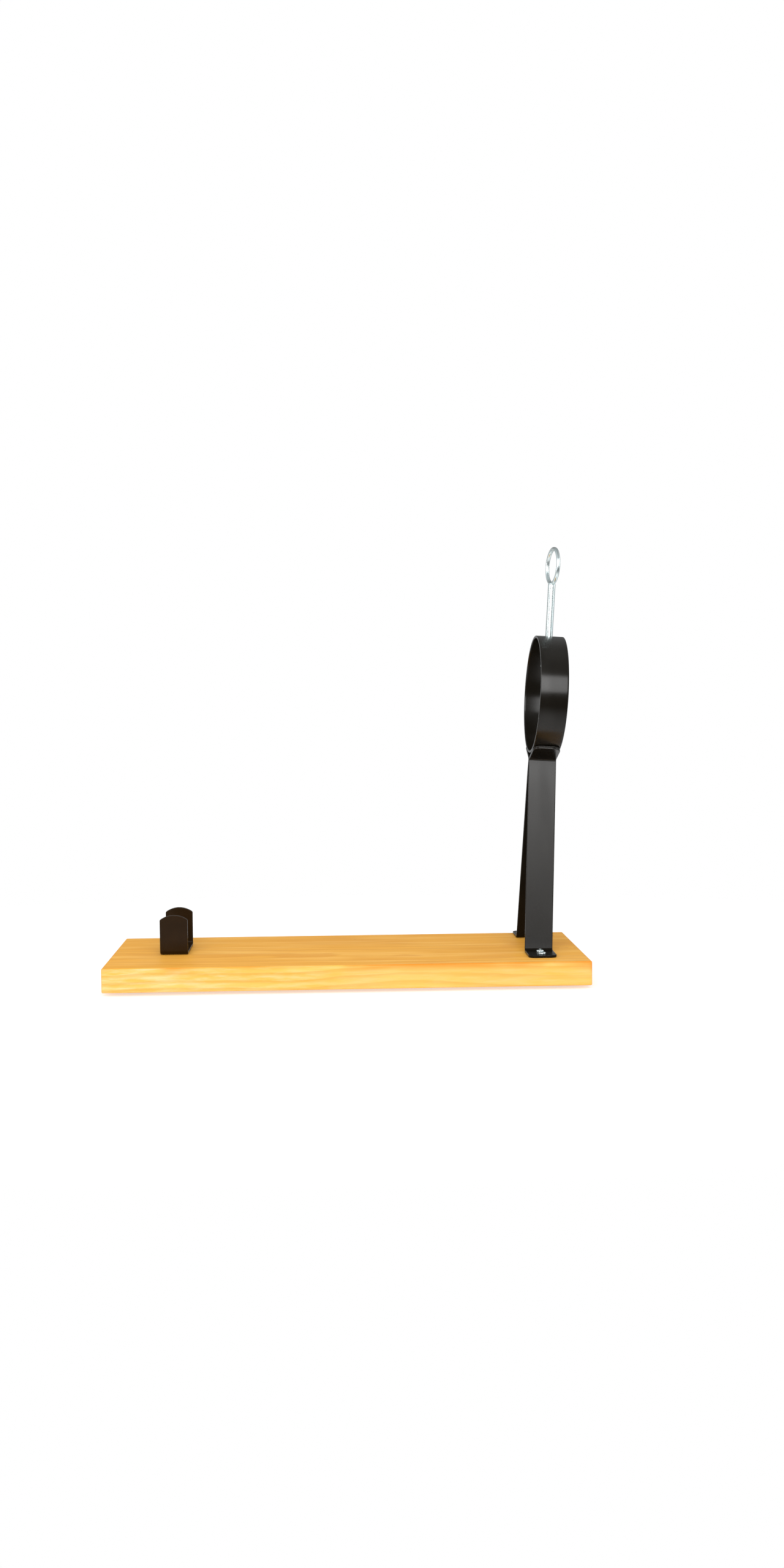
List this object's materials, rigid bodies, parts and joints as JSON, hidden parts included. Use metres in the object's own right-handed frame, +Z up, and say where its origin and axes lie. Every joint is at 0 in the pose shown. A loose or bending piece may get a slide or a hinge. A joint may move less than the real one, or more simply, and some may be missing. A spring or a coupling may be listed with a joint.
{
  "type": "ham holder stand",
  "caption": "Wooden board with a spiked cradle for the thick end of a ham, and a leaning steel post whose ring clamps the hock with an eye screw.",
  "frame": {"origin": "on the table, under the middle of the board", "axes": "+X along the board towards the post, +Y towards the back, +Z up"},
  "size_m": [0.5, 0.195, 0.4614],
  "materials": {
    "pine": "clear varnished, grain along the board",
    "rubber": "matt moulded",
    "screw_zinc": "bright zinc plated",
    "cradle_paint": "satin black enamel",
    "post_paint": "satin black enamel",
    "spike_steel": "bright turned",
    "clamp_zinc": "bright zinc plated"
  },
  "bodies": {
    "stand": {"base_board": "pine", "foot_pad_front_left": "rubber", "foot_pad_front_right": "rubber", "foot_pad_back_left": "rubber", "foot_pad_back_right": "rubber", "pad_screw_front_left": "screw_zinc", "pad_screw_front_right": "screw_zinc", "pad_screw_back_left": "screw_zinc", "pad_screw_back_right": "screw_zinc", "cradle_bracket": "cradle_paint", "cradle_screw_front": "screw_zinc", "cradle_screw_back": "screw_zinc", "ham_spike": "spike_steel", "front_leg": "post_paint", "back_leg": "post_paint", "front_foot_screw_inner": "screw_zinc", "front_foot_screw_outer": "screw_zinc", "back_foot_screw_inner": "screw_zinc", "back_foot_screw_outer": "screw_zinc", "hock_ring": "post_paint", "clamp_nut": "post_paint"},
    "swivel_foot": {"clamp_foot": "clamp_zinc"},
    "eye_screw": {"clamp_screw": "clamp_zinc", "screw_eye": "clamp_zinc"}
  },
  "joints": [
    {"name": "screw_feed", "type": "slide", "parent": "stand", "child": "swivel_foot", "axis": [-0.0576, 0, -0.9983], "range_m": [-0.0148, 0.0496]},
    {"name": "screw_turn", "type": "hinge", "parent": "swivel_foot", "child": "eye_screw", "pos_m": [0.22027, 0.0105, 0.332], "axis": [-0.0576, 0, -0.9983], "range_deg": [-4263, 14285]}
  ],
  "couplings": [
    {"joint": "screw_turn", "follows": "screw_feed", "rad_per_m": 5026.5}
  ]
}
